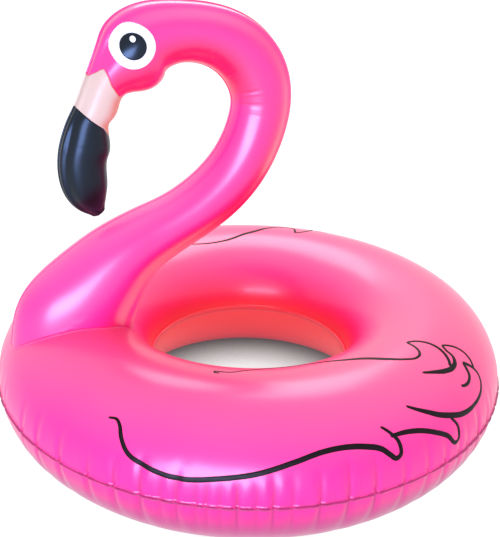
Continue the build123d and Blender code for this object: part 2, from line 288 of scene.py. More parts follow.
class Finish:
    """A material under construction: its node tree and its one main shader."""

    def __init__(self, name, **constants):
        self.material = bpy.data.materials.new(name)
        self.material.use_nodes = True
        self.tree = self.material.node_tree
        self.shader = self.tree.nodes["Principled BSDF"]
        for socket, value in constants.items():
            self.shader.inputs[socket.replace("_", " ")].default_value = value

    def node(self, kind, settings=(), inputs=(), output=0):
        """Any node: its settings are set first, then the values or links of its sockets."""
        made = self.tree.nodes.new(kind)
        for name, value in dict(settings).items():
            setattr(made, name, value)
        for name, value in dict(inputs).items():
            if isinstance(value, Signal):
                self.tree.links.new(value.socket, made.inputs[name])
            else:
                made.inputs[name].default_value = value
        return Signal(self, made.outputs[output])

    def feed(self, socket, value):
        """Link a value that changes over the surface to the main shader."""
        self.tree.links.new(value.socket, self.shader.inputs[socket])

    def mix(self, share, first, second):
        """A colour part of the way from the first to the second."""
        colours = {6: first if isinstance(first, Signal) else (*first, 1),
                   7: second if isinstance(second, Signal) else (*second, 1)}
        return self.node("ShaderNodeMix", {"data_type": "RGBA"}, {0: share, **colours}, output=2)

    def ramp(self, value, start, end, low=0.0, high=1.0):
        """A smooth passage from low to high while a value goes from start to end."""
        inputs = dict(enumerate((value, start, end, low, high)))
        return self.node("ShaderNodeMapRange", {"interpolation_type": "SMOOTHSTEP"}, inputs)

    def noise(self, scale, detail=2.0, roughness=0.5):
        """Cloudy variation from 0 to 1 with a middle of about 0.5."""
        place = self.node("ShaderNodeTexCoord", output=3)
        inputs = {"Vector": place, "Scale": scale, "Detail": detail, "Roughness": roughness}
        return self.node("ShaderNodeTexNoise", {}, inputs)

    def parts(self, vector):
        """The three numbers of a vector."""
        split = self.node("ShaderNodeSeparateXYZ", {}, {0: vector})
        return [Signal(self, split.socket.node.outputs[i]) for i in range(3)]

    def bump(self, height, strength, distance):
        """Fine relief that is too small to model."""
        inputs = {"Height": height, "Strength": strength, "Distance": distance}
        self.feed("Normal", self.node("ShaderNodeBump", {}, inputs))


def rgb(*screen):
    """A screen colour from 0 to 255 as the linear numbers that shaders use."""
    return tuple(((c / 255 + 0.055) / 1.055) ** 2.4 if c > 10 else c / 255 / 12.92 for c in screen)


# %% [markdown]
# ## Pink film
# Inflatable PVC is coloured all through and a little see-through, with a smooth, slightly waxy
# gloss.  Light that has passed through the film or bounced between two walls comes out deeper and
# redder, and faces turned to the sky catch a pale light.  A path tracer could find that with a dense
# volume, but slowly and with noise.  That light and shade is painted into the colour instead, mixed
# from a few pinks by which way the surface faces and how deep in the hole it is, with a faint
# cloudiness over all of it: painted pale sky light on faces turned up, less of it at the bird's
# front left, painted bounce red low in the hole, and painted darker shade on faces turned down.
# The wall of the hole also has a painted red glow, which stands for daylight that comes through
# the film.  The sharp folds and the outer weld get painted darker shade: the ring's mesh marks them
# with a "gather" value.
# The bump is the fine pebble of calendered film, far too small to model.

# %% Pink film material
# Painted light: the pale pink of film lit from the sky.
SKY_LIT_PINK = rgb(244, 78, 130)
BODY_PINK = rgb(236, 6, 122)
# Painted light: the red of light bounced between the hole's walls.
PAINTED_BOUNCE_RED = rgb(236, 34, 60)
# Painted shade: underneath, in the sharp folds and along the outer weld.
PAINTED_SHADE_PINK = rgb(160, 0, 92)
# Painted light: a red glow, for daylight through the film.
PAINTED_GLOW_RED = rgb(255, 60, 40)


def pink_film(name, sky_lit, body, shade, hole, sky_start, gloss):
    """Pink vinyl. shade is the painted shade colour underneath, hole how much painted bounce red the ring's inner
    wall gets.
    """
    film = Finish(name, IOR=1.5, Specular_IOR_Level=gloss, Coat_Weight=0.2, Coat_Roughness=0.2,
                  Emission_Strength=0.13)
    place = film.node("ShaderNodeTexCoord", output=3)
    facing = film.node("ShaderNodeNewGeometry", output=1)
    up = film.parts(facing)[2]
    x, y, height = film.parts(place)
    flat_place = film.node("ShaderNodeVectorMath", {"operation": "MULTIPLY"}, {0: place, 1: (1, 1, 0)})
    outward = film.node("ShaderNodeVectorMath", {"operation": "NORMALIZE"}, {0: flat_place})
    out = film.node("ShaderNodeVectorMath", {"operation": "DOT_PRODUCT"}, {0: outward, 1: facing}, output=1)
    sky = film.ramp(up, sky_start, 1.0)
    under = film.ramp(up, 0.15, -0.5)
    gather = film.node("ShaderNodeAttribute", {"attribute_name": "gather"}, output=2)
    low = film.ramp(height, crown * 0.86, crown * 0.5)
    # How much painted bounce red and painted glow the hole's lower wall gets.
    inner = ((0.0 - out) * 1.5).clamp() * low * hole
    cloud = film.noise(6.0, 3.0) - 0.5
    sky_light_share = film.ramp(x + y, -0.68, -0.2, 0.7, 1.0)  # painted shade: least painted sky light at the bird's front left
    # Painted sky light: faces turned up are paler, less so at the bird's front left.
    colour = film.mix((sky * sky_light_share + cloud * 0.25).clamp(), body, sky_lit)
    # Painted bounce red low on the hole's wall.
    colour = film.mix((inner + cloud * 0.12 * hole).clamp(), colour, PAINTED_BOUNCE_RED)
    # Painted shade: darker on faces turned down.
    colour = film.mix((under * (1.0 + out).clamp()).clamp(), colour, shade)
    # Painted shade in the sharp folds and along the outer weld.
    colour = film.mix(gather, colour, PAINTED_SHADE_PINK)
    film.feed("Base Color", colour)
    # Painted glow: red emission on the hole's lower wall.
    film.feed("Emission Color", film.mix(inner.clamp(), (0, 0, 0), PAINTED_GLOW_RED))
    film.feed("Roughness", 0.32 + cloud * 0.08)
    pebble = film.noise(1600.0, 1.0) * 0.6 + film.noise(420.0, 2.0) * 0.4
    film.bump(pebble, 0.08, 0.0004)
    print("finish", name)
    return film.material


ring_film = pink_film("ring_pink_film", SKY_LIT_PINK, BODY_PINK, PAINTED_SHADE_PINK,
                      hole=1.0, sky_start=0.34, gloss=0.55)
# The neck: painted sky light, its own pink, and a painted shade underneath.
neck_film = pink_film("neck_pink_film", rgb(244, 84, 148), rgb(240, 22, 124), rgb(242, 4, 76),
                      hole=0.0, sky_start=0.4, gloss=0.75)

# %% [markdown]
# ## Ring skins
# The real ring is two flat rings of film welded at their outer and inner edges.  Each skin here is
# half of the tube: a narrow flat weld edge, the oval over the top or under the bottom, and the
# narrow edge in the hole.  The rows lie closer together near the outer weld, where the puckers
# are, and the weld edge itself ripples a little with them.  Each skin also carries the number
# "gather" at its points: high in the sharp folds and on the outer weld, and 0 elsewhere.  The pink
# film paints shade where it is high.

# %% Upper and lower ring skins
RING_COLUMNS = 1440
RING_ROWS = 58
WELD_FILM = 0.7 * MM  # each layer of film in the weld edge
VALVE_HOLE = 21 * MM

around_ring = np.linspace(0, 360, RING_COLUMNS, endpoint=False)


def weld_edge(outside, distance, side):
    """A row of the flat weld edge, at a distance from the tube."""
    angle = np.radians(around_ring)
    gather = pucker_height(around_ring, np.zeros(1)) if outside else np.zeros(RING_COLUMNS)
    ripple = 0.6 * MM * np.sin(np.radians(around_ring * 37)) * np.sin(np.radians(around_ring * 11 + 60))
    share = distance / WELD_EDGE
    radius = ring_radius + (tube_width + distance + gather * 0.8 if outside else -tube_width - distance)
    height = weld_height + side * (WELD_FILM + 0.1 * MM) + (ripple * share if outside else 0)
    return np.stack([radius * np.cos(angle), radius * np.sin(angle), height + 0 * radius * angle], axis=-1)


def ring_skin(name, side):
    """One half of the ring's film: side 1 is the top, -1 the bottom."""
    start = math.degrees(math.asin((WELD_FILM + 0.1 * MM) / tube_height))
    share = np.linspace(0, 1, RING_ROWS)
    over = start + (180 - 2 * start) * (0.72 * share + 0.28 * share**2)
    rows = [weld_edge(True, WELD_EDGE, side), weld_edge(True, 0.6 * MM, side)]
    rows += [ring_point(around_ring, side * np.full(1, angle)) for angle in over]
    rows += [weld_edge(False, 0.4 * MM, side), weld_edge(False, INNER_WELD_EDGE, side)]
    points = np.concatenate(rows)
    faces = grid_faces(len(rows), RING_COLUMNS, True, flip=side < 0)
    if side > 0:
        points, faces = cut_hole(points, faces, ring_valve_place, ring_valve_axis, VALVE_HOLE)
    skin = add_piece(name, points, faces, ring_film, "pink_vinyl")
    around, over = ring_angles(points)
    beyond = np.abs(np.hypot(points[:, 0], points[:, 1]) - ring_radius) - tube_width
    outer = np.hypot(points[:, 0], points[:, 1]) > ring_radius
    weld = (np.abs(points[:, 2] - weld_height) < 2 * MM) & (beyond > 0.2 * MM) & outer
    # gather marks where the pink film paints shade: the sharp folds and the outer weld.
    gather = skin.data.attributes.new("gather", "FLOAT", "POINT")
    gather.data.foreach_set("value", np.maximum(fold_line(around, over), weld * 0.9).astype(np.float32))
    return thicken(skin, WELD_FILM)


ring_upper_skin = ring_skin("ring_upper_skin", 1)
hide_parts("ring_upper_panel")
ring_lower_skin = ring_skin("ring_lower_skin", -1)
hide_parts("ring_lower_panel")

# %% [markdown]
# ## The line of the neck
# A neck like this is cut as two flat side panels and welded down its back and front, so every
# section is a plain oval and the whole shape is told by its centre line.  The line below runs from
# inside the ring up the neck, over the crown of the head and down the beak.  Only the line is
# written here.  How wide the neck is at each place is measured from the CAD panels themselves, by
# sending rays out from the line until they leave the film.

# %% A smooth line through points
def smooth_line(points, step):
    """A smooth line through the points, cut into even steps."""
    points = np.asarray(points, float)
    knots = np.concatenate([[0], np.cumsum(np.linalg.norm(np.diff(points, axis=0), axis=1))])
    slopes = np.gradient(points, knots, axis=0)
    fine = np.linspace(0, knots[-1], 60 * len(points))
    which = np.clip(np.searchsorted(knots, fine, side="right") - 1, 0, len(points) - 2)
    gap = (knots[which + 1] - knots[which])[:, None]
    t = (fine - knots[which])[:, None] / gap
    line = (2 * t**3 - 3 * t**2 + 1) * points[which] + (t**3 - 2 * t**2 + t) * gap * slopes[which]
    line += (3 * t**2 - 2 * t**3) * points[which + 1] + (t**3 - t**2) * gap * slopes[which + 1]
    length = np.concatenate([[0], np.cumsum(np.linalg.norm(np.diff(line, axis=0), axis=1))])
    even = np.linspace(0, length[-1], max(2, round(length[-1] / step) + 1))
    return np.stack([np.interp(even, length, column) for column in line.T], axis=1)


def soften(values, width, axis=0):
    """Blur numbers along one axis, keeping both ends where they are."""
    reach = int(3 * width) + 1
    weights = np.exp(-((np.arange(-reach, reach + 1) / width) ** 2) / 2)
    weights /= weights.sum()
    ends = [(0, 0)] * values.ndim
    ends[axis] = (reach, reach)
    padded = np.pad(values, ends, mode="reflect", reflect_type="odd")
    return np.apply_along_axis(lambda column: np.convolve(column, weights, "valid"), axis, padded)


# %% The neck's centre line and the directions square to it
STATION = 3 * MM
# Forward and up, in millimetres, from the ring's crown under the neck.
NECK_LINE = [
    (10, -90), (-2, -25), (-30, 36), (-74, 88), (-114, 128), (-162, 161), (-232, 197), (-291, 231),
    (-344, 273), (-388, 326), (-422, 398), (-434, 470), (-418, 530), (-376, 579), (-312, 608),
    (-244, 613), (-194, 603), (-162, 580), (-139, 553), (-111, 530), (-88, 497), (-71, 457),
    (-53, 412), (-42, 364), (-40, 312), (-50, 270), (-61, 247), (-67, 236),
]
line = smooth_line([(-ring_radius - f * MM, crown + u * MM) for f, u in NECK_LINE], STATION)
heading = soften(np.gradient(line, axis=0), 6.0)
heading /= np.linalg.norm(heading, axis=1)[:, None]
stations = len(line)
print("neck line", round(stations * STATION, 3), "m in", stations, "stations")


def line_frame(along):
    """Centre and back direction at numbers of stations along the line."""
    at = np.arange(stations)
    x, z, dx, dz = (np.interp(along, at, column) for column in (*line.T, *heading.T))
    centre = np.stack([x, 0 * x, z], axis=-1)
    back = np.stack([dz, 0 * x, -dx], axis=-1)
    return centre, back


def spoke(along, turn):
    """Direction out of the line: turn 0 is the bird's back, 90 its left and 180 its front."""
    centre, back = line_frame(along)
    turn = np.radians(turn)[..., None]
    return centre, np.cos(turn) * back + np.sin(turn) * np.array([0, -1.0, 0])


# %% Rays from the line to the outside of the film
LEFT_FILM = ["neck_panel_left", "beak_base_left", "beak_tip_left"]
corners, walls, wall_node = [], [], []
for number, node in enumerate(LEFT_FILM):
    mesh = frame["nodes"][node].data
    start = len(corners)
    corners += [vertex.co.copy() for vertex in mesh.vertices]
    walls += [[start + i for i in polygon.vertices] for polygon in mesh.polygons]
    wall_node += [number] * len(mesh.polygons)
left_film = BVHTree.FromPolygons(corners, walls)


def reach_of(along, turn):
    """Distance from the line to the film's outside, and which node is there, or (nan, -1)."""
    centre, direction = spoke(np.array(float(along)), np.array(float(turn)))
    centre, direction = Vector(centre), Vector(direction)
    inside = left_film.ray_cast(centre, direction)
    if inside[0] is None:
        return math.nan, -1
    outside = left_film.ray_cast(inside[0] + direction * 0.05 * MM, direction)
    if outside[0] is None or outside[3] > 8 * MM:
        return math.nan, -1
    return (outside[0] - centre).length, wall_node[outside[2]]


TURN_STEP = 3.0
turns = np.arange(0, 180 + TURN_STEP / 2, TURN_STEP)
cast_turns = np.clip(turns, 0.6, 179.4)
cast = [[reach_of(station, turn) for turn in cast_turns] for station in range(stations)]
reach = np.array([[hit[0] for hit in row] for row in cast])
hit_node = np.array([[hit[1] for hit in row] for row in cast])
print("rays that left the film", int(np.isfinite(reach).sum()), "of", reach.size)

# %% Fill the stations inside the ring, and take out the CAD mesh's small facets
for column in range(reach.shape[1]):
    good = np.flatnonzero(np.isfinite(reach[:, column]))
    reach[:, column] = np.interp(np.arange(stations), good, reach[good, column])
reach = soften(soften(reach, 2.0), 1.0, axis=1)
print("neck reach from", reach.min().round(4), "to", reach.max().round(4))


# %% [markdown]
# ## The neck's surface
# With the reach known everywhere, the surface is one formula again: the line, plus the reach in
# the chosen direction.  Small things are added to it.  Along the back and the front the two panels
# are welded, which leaves a thin standing edge.  Inside the crook the film is too long and folds
# into fine creases.

# %% The neck's surface as one function
FIN_HEIGHT = 3.0 * MM
FIN_WIDTH = 0.8 * MM


def station_near(forward, up):
    """The station of the line that is nearest to a place of the side view."""
    place = np.array([-ring_radius - forward * MM, crown + up * MM])
    return float(np.argmin(np.linalg.norm(line - place, axis=1)))


# Centre station, spacing in stations, how many, which turn, how wide a turn, depth.
CREASE_GROUPS = [
    (station_near(-432, 480), 3.4, 9, 128, 26, 1.0 * MM),
    (station_near(-305, 609), 4.3, 6, 138, 24, 0.8 * MM),
    (station_near(-372, 582), 5.0, 6, 146, 18, 0.6 * MM),
    (station_near(-90, 500), 1.0, 1, 84, 34, 0.7 * MM),
    (station_near(-46, 385), 1.0, 1, 82, 26, 0.5 * MM),
]


def crease_height(along, half_turn):
    """Fine creases of the film in the crook and on the beak."""
    height = np.zeros(np.broadcast(along, half_turn).shape)
    for middle, spacing, count, turn, width, depth in CREASE_GROUPS:
        for number in range(count):
            place = middle + (number - (count - 1) / 2) * spacing * (1 + 0.13 * math.sin(number * 2.3))
            strength = 0.6 + 0.4 * math.sin(number * 1.9 + middle)
            turned = np.exp(-(((half_turn - turn - 6 * math.sin(number * 3.1)) / width) ** 2))
            height -= depth * strength * turned * np.exp(-(((along - place) / 0.95) ** 2))
    return height


def neck_point(along, turn, with_fin=True):
    """A point of the neck's, head's or beak's film."""
    along, turn = np.broadcast_arrays(np.asarray(along, float), np.asarray(turn, float))
    half = np.where(turn <= 180, turn, 360 - turn)
    row = np.clip(along, 0, stations - 1.001)
    column = np.clip(half / TURN_STEP, 0, len(turns) - 1.001)
    r, c = row.astype(int), column.astype(int)
    fr, fc = row - r, column - c
    out = (reach[r, c] * (1 - fr) + reach[r + 1, c] * fr) * (1 - fc)
    out = out + (reach[r, c + 1] * (1 - fr) + reach[r + 1, c + 1] * fr) * fc
    from_weld = out * np.radians(np.minimum(half, 180 - half))
    if with_fin:
        out = out + FIN_HEIGHT * np.where(half > 90, 0.5, 1.0) * np.exp(-((from_weld / FIN_WIDTH) ** 4))
    out = out + crease_height(along, half) * np.clip(from_weld / (6 * MM), 0, 1)
    centre, direction = spoke(along, turn)
    return centre + out[..., None] * direction


# %% Where each column of the neck starts and ends
def inside_tube(points):
    """Below 1 inside the ring's air tube, 1 on its film."""
    flat = np.hypot(points[..., 0], points[..., 1])
    return ((flat - ring_radius) / tube_width) ** 2 + ((points[..., 2] - weld_height) / tube_height) ** 2


def foot_station(turn):
    """Where a column of the neck comes out of the ring."""
    along = np.arange(0, stations * 0.4, 0.25)
    inside = inside_tube(neck_point(along, turn, with_fin=False)) < 1
    last = np.flatnonzero(inside)[-1]
    low, high = along[last], along[last] + 0.25
    for _ in range(12):
        middle = (low + high) / 2
        if inside_tube(neck_point(middle, turn, with_fin=False)) < 1:
            low = middle
        else:
            high = middle
    return high


def joint_station(column, node):
    """Where a column passes from the film before a colour joint to the given CAD node."""
    first = np.flatnonzero((hit_node[:, column] >= node))[0]
    low, high = first - 1.0, float(first)
    for _ in range(10):
        middle = (low + high) / 2
        if reach_of(middle, cast_turns[column])[1] >= node:
            high = middle
        else:
            low = middle
    return high


foot = np.array([foot_station(turn) for turn in turns])
pale_joint = np.array([joint_station(column, 1) for column in range(len(turns))])
black_joint = np.array([joint_station(column, 2) for column in range(len(turns))])
print("foot", foot.min().round(1), foot.max().round(1), "pale joint", pale_joint.min().round(1),
      pale_joint.max().round(1), "black joint", black_joint.min().round(1), black_joint.max().round(1))

# %% Columns of the neck grid: even steps, and more beside the two welds
even_turns = np.arange(2.5, 178, 2.5)
beside_weld = [0.0, 0.35, 0.8, 1.4]
half_turns = np.concatenate([beside_weld, even_turns, 180 - np.array(beside_weld[::-1])])
neck_turns = np.concatenate([half_turns, 360 - half_turns[-2:0:-1]])


def at_turn(values, turn):
    """A value known at each turn of the left half, for any turn."""
    return np.interp(np.where(turn <= 180, turn, 360 - turn), turns, values)


def neck_grid(start, end, step):
    """Rows of points from one edge of a skin to the other, each column evenly cut."""
    rows = max(3, int(np.max(end - start) * STATION / step) + 1)
    share = np.linspace(0, 1, rows)[:, None]
    along = at_turn(start, neck_turns) * (1 - share) + at_turn(end, neck_turns) * share
    return neck_point(along, neck_turns[None, :] + 0 * along)


# %% [markdown]
# ## Neck, beak base and beak tip
# The pink neck, the pale beak and the black tip are separate sheets, welded edge to edge where the
# colour changes, so the colour line is a real joint and not paint.  Each skin is its own grid whose
# first and last rows lie exactly on those joints.  That keeps the colour line crisp at any size.

# %% Pale, black and white film
def smooth_film(name, near, far, roughness, coat, cloud_size=9.0, **gloss):
    """Plain coloured vinyl, a little cloudy, with the same pebble as the pink film."""
    film = Finish(name, IOR=1.5, Coat_Weight=coat, Coat_Roughness=0.12, **gloss)
    cloud = film.noise(cloud_size, 3.0)
    film.feed("Base Color", film.mix(cloud, near, far))
    film.feed("Roughness", roughness + (cloud - 0.5) * 0.08)
    film.bump(film.noise(1500.0, 1.0), 0.08, 0.0004)
    print("finish", name)
    return film.material


def pale_film():
    """Cream film that turns salmon towards the back edge of the beak."""
    film = Finish("beak_pale_film", IOR=1.5, Specular_IOR_Level=0.35, Coat_Weight=0.1, Coat_Roughness=0.2)
    facing = film.parts(film.node("ShaderNodeNewGeometry", output=1))
    behind = film.ramp(facing[0], 0.15, 1.0)
    cloud = film.noise(12.0, 3.0) - 0.5
    colour = film.mix((behind + cloud * 0.15).clamp(), rgb(194, 166, 154), rgb(210, 110, 88))
    film.feed("Base Color", colour)
    film.feed("Roughness", 0.36 + cloud * 0.06)
    film.bump(film.noise(1500.0, 1.0), 0.08, 0.0004)
    print("finish beak_pale_film")
    return film.material


beak_pale_film = pale_film()
BLACK_GLOSS = {"Specular_IOR_Level": 0.48, "Specular_Tint": (0.55, 0.72, 1.0, 1)}
beak_black_film = smooth_film("beak_black_film", rgb(0, 0, 1), rgb(2, 2, 4), 0.34, 0.0, **BLACK_GLOSS)
eye_white_film = smooth_film("eye_white_film", rgb(220, 218, 218), rgb(214, 212, 214), 0.34, 0.1)

# %% Skins of the neck, the pale beak and the black tip
SKIN_STEP = 4 * MM
NECK_VALVE_HOLE = 11 * MM
last_station = np.full(len(turns), stations - 1.0)


def neck_skin(name, start, end, finish, slot, *nodes, hole=False):
    """A skin from one joint to the next, in place of the CAD panels of both sides."""
    grid = neck_grid(start, end, SKIN_STEP)
    rows, columns = grid.shape[:2]
    points = grid.reshape(-1, 3)
    faces = grid_faces(rows, columns, True)
    if hole:
        points, faces = cut_hole(points, faces, neck_valve_place, neck_valve_axis, NECK_VALVE_HOLE)
    skin = thicken(add_piece(name, points, faces, finish, slot), WELD_FILM)
    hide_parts(*nodes)
    return skin


neck_skin_piece = neck_skin("neck_skin", foot, pale_joint, neck_film, "pink_vinyl",
                            "neck_panel_left", "neck_panel_right", hole=True)
neck_skin("beak_base_skin", pale_joint, black_joint, beak_pale_film, "pale_vinyl",
          "beak_base_left", "beak_base_right")

# %% The black tip, closed with a rounded end
TIP_ROUND = 7 * MM
tip = neck_grid(black_joint, last_station, SKIN_STEP)
end_row = tip[-1]
end_centre = end_row.mean(axis=0)
end_way = np.array([heading[-1, 0], 0, heading[-1, 1]])
caps = [end_centre + (end_row - end_centre) * math.cos(t) + end_way * TIP_ROUND * math.sin(t)
        for t in np.radians([15, 30, 45, 60, 75])]
tip_points = np.concatenate([tip.reshape(-1, 3), *caps, [end_centre + end_way * TIP_ROUND]])
tip_rows, tip_columns = tip.shape[0] + len(caps), tip.shape[1]
tip_faces = grid_faces(tip_rows, tip_columns, True)
last_row = (tip_rows - 1) * tip_columns
end_point = len(tip_points) - 1
tip_faces += [(last_row + c, last_row + (c + 1) % tip_columns, end_point) for c in range(tip_columns)]
beak_tip_skin = add_piece("beak_tip_skin", tip_points, tip_faces, beak_black_film, "black_vinyl")
thicken(beak_tip_skin, WELD_FILM)
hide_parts("beak_tip_left", "beak_tip_right")

# %% [markdown]
# ## The weld between neck and ring
# The neck's foot is turned out and welded flat to the ring, which shows as a narrow flat rim
# around it.  It is a strip that starts on the foot line and follows the ring's own surface outwards.

# %% Neck foot weld
foot_line = neck_point(at_turn(foot, neck_turns), neck_turns, with_fin=False)
foot_way = np.roll(foot_line, -1, axis=0) - np.roll(foot_line, 1, axis=0)
foot_way /= np.linalg.norm(foot_way, axis=1)[:, None]


def ring_out(points):
    """The direction straight out of the ring's film."""
    flat = np.hypot(points[..., 0], points[..., 1])
    out = np.stack([points[..., 0] * (1 - ring_radius / flat) / tube_width**2,
                    points[..., 1] * (1 - ring_radius / flat) / tube_width**2,
                    (points[..., 2] - weld_height) / tube_height**2], axis=-1)
    return out / np.linalg.norm(out, axis=-1, keepdims=True)


away = np.cross(foot_way, ring_out(foot_line))
middle = foot_line.mean(axis=0)
away *= np.sign(((foot_line - middle) * away).sum(axis=1, keepdims=True))
# Reach out from the foot line and height over the ring's film, in millimetres.
profile = [(-1.5, -0.5), (-1.5, 1.0), (0.0, 1.3), (1.0, 0.8), (5.0, 0.7), (6.0, 0.5), (6.2, -0.5)]
rim_rows = []
for reach_out, height in profile:
    around, over = ring_angles(foot_line + away * reach_out * MM)
    rim_rows.append(ring_point(around, over, height * MM))
rim = np.stack(rim_rows)
rim_faces = grid_faces(len(profile), len(neck_turns), True, wrap_rows=True)
add_piece("neck_foot_weld", rim.reshape(-1, 3), rim_faces, neck_film, "pink_vinyl")

# %% [markdown]
# ## Eyes
# Each eye is printed film welded to the side of the head: a white disc, a black pupil and a small
# round catch light.  A flat disc would cut into the curved head, so each one is laid on it: a round
# grid of points seen from the side, pushed in until it meets the skin, then lifted by its height.

# %% Discs that lie on the head
neck_head = bpy.data.objects["neck_skin"].data
head_tree = BVHTree.FromPolygons([v.co.copy() for v in neck_head.vertices],
                                 [tuple(p.vertices) for p in neck_head.polygons])
EYE_RINGS, EYE_SPOKES = 14, 72
SOFT_EDGE = 0.15 * MM  # how much the edge of a patch is lower than its face
WHITE_LAYER = (-0.4 * MM, 0.8 * MM)  # bottom and top of each layer over the skin
PUPIL_LAYER = (0.5 * MM, 1.3 * MM)
GLINT_LAYER = (1.0 * MM, 1.6 * MM)
GLINT_RADIUS, GLINT_SQUEEZE = 6 * MM, 0.93
GLINT_FORWARD, GLINT_UP = 0.5 * MM, 0.56  # the second as a share of the pupil's radius


def side_point(x, z, side, lift):
    """The point of the head's side at a place of the side view, lifted out of the film."""
    hit, normal, _, _ = head_tree.ray_cast(Vector((x, side * 0.3, z)), Vector((0, -side, 0)))
    normal = normal if normal.y * side > 0 else -normal
    return hit + normal * lift


def face_disc(name, middle, radius, layer_heights, side, finish, slot, squeeze=1.0):
    """A thin round patch on one side of the head, with a softly rounded edge."""
    low, high = layer_heights
    layers = []
    for level, edge in ((high, SOFT_EDGE), (low, 0.0)):
        layer = [side_point(middle[0], middle[1], side, level)]
        for share in np.linspace(0, 1, EYE_RINGS + 1)[1:]:
            lift = level - (edge if share == 1 else 0)
            for spoke_number in range(EYE_SPOKES):
                angle = 2 * math.pi * spoke_number / EYE_SPOKES
                x = middle[0] + radius * share * math.cos(angle) * squeeze
                z = middle[1] + radius * share * math.sin(angle)
                layer.append(side_point(x, z, side, lift))
        layers.append(layer)
    count = len(layers[0])
    faces = []
    for layer, turned in ((0, side > 0), (1, side < 0)):
        base = layer * count
        for s in range(EYE_SPOKES):
            nxt = (s + 1) % EYE_SPOKES
            new = [(base, base + 1 + s, base + 1 + nxt)]
            for ring in range(EYE_RINGS - 1):
                near, far = base + 1 + ring * EYE_SPOKES, base + 1 + (ring + 1) * EYE_SPOKES
                new.append((near + s, far + s, far + nxt, near + nxt))
            faces += [face[::-1] for face in new] if turned else new
    top, bottom = 1 + (EYE_RINGS - 1) * EYE_SPOKES, count + 1 + (EYE_RINGS - 1) * EYE_SPOKES
    for s in range(EYE_SPOKES):
        nxt = (s + 1) % EYE_SPOKES
        face = (top + s, bottom + s, bottom + nxt, top + nxt)
        faces.append(face[::-1] if side > 0 else face)
    return add_piece(name, [tuple(p) for p in layers[0] + layers[1]], faces, finish, slot)


def node_disc(node):
    """Centre and radius, in the side view, of a round CAD patch."""
    low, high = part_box(node)
    return ((low.x + high.x) / 2, (low.z + high.z) / 2), (high.x - low.x) / 2


pupil_black_film = smooth_film("pupil_black_film", rgb(2, 3, 6), rgb(5, 7, 12), 0.24, 0.0, **BLACK_GLOSS)
for side, word in ((-1, "left"), (1, "right")):
    middle, radius = node_disc(f"eye_white_{word}")
    white = face_disc(f"eye_white_{word}_patch", middle, radius, WHITE_LAYER, side,
                      eye_white_film, "white_vinyl")
    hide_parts(f"eye_white_{word}")
    middle, radius = node_disc(f"eye_pupil_{word}")
    pupil = face_disc(f"eye_pupil_{word}_patch", middle, radius, PUPIL_LAYER, side,
                      pupil_black_film, "black_vinyl")
    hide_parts(f"eye_pupil_{word}")
    glint_middle = (middle[0] - GLINT_FORWARD, middle[1] + GLINT_UP * radius)
    face_disc(f"eye_glint_{word}", glint_middle, GLINT_RADIUS, GLINT_LAYER, side,
              eye_white_film, "white_vinyl", squeeze=GLINT_SQUEEZE)

# %% [markdown]
# ## Wing lines
# Each side of the ring carries a wing drawn in black ink, like brush strokes that swell and taper.
# Ink on film could be a mask in the pink material, but a mask is only as sharp as its maths and
# can't be seen in the mesh.  Each stroke is a very thin ribbon that lies on the film instead.
# It is given as a few places, in degrees round the ring and over the tube, and a few widths.
# The right side's print is the left one's mirror image, but for three things: its front part is
# set a little back, its inner line lies further out, and it stops under the screw valve's flange.

# %% Strokes of the left wing
INK_LIFT = 0.4 * MM
INK_SPREAD = 1.12  # ink spreads a little past the drawn stroke
VALVE_FLANGE = 30 * MM  # radius of the valve's welded flange
UNDER_FLANGE = 3 * MM  # how far the print goes on under it
RIGHT_SET_BACK, RIGHT_SET_OUT = 2.5, 6  # degrees round the ring and over the tube
RIGHT_SHIFT_FULL, RIGHT_SHIFT_NONE = 280, 300  # degrees round the ring between which both fade
INNER_LINE_OVER = 75  # the inner line's places lie further over the tube than this
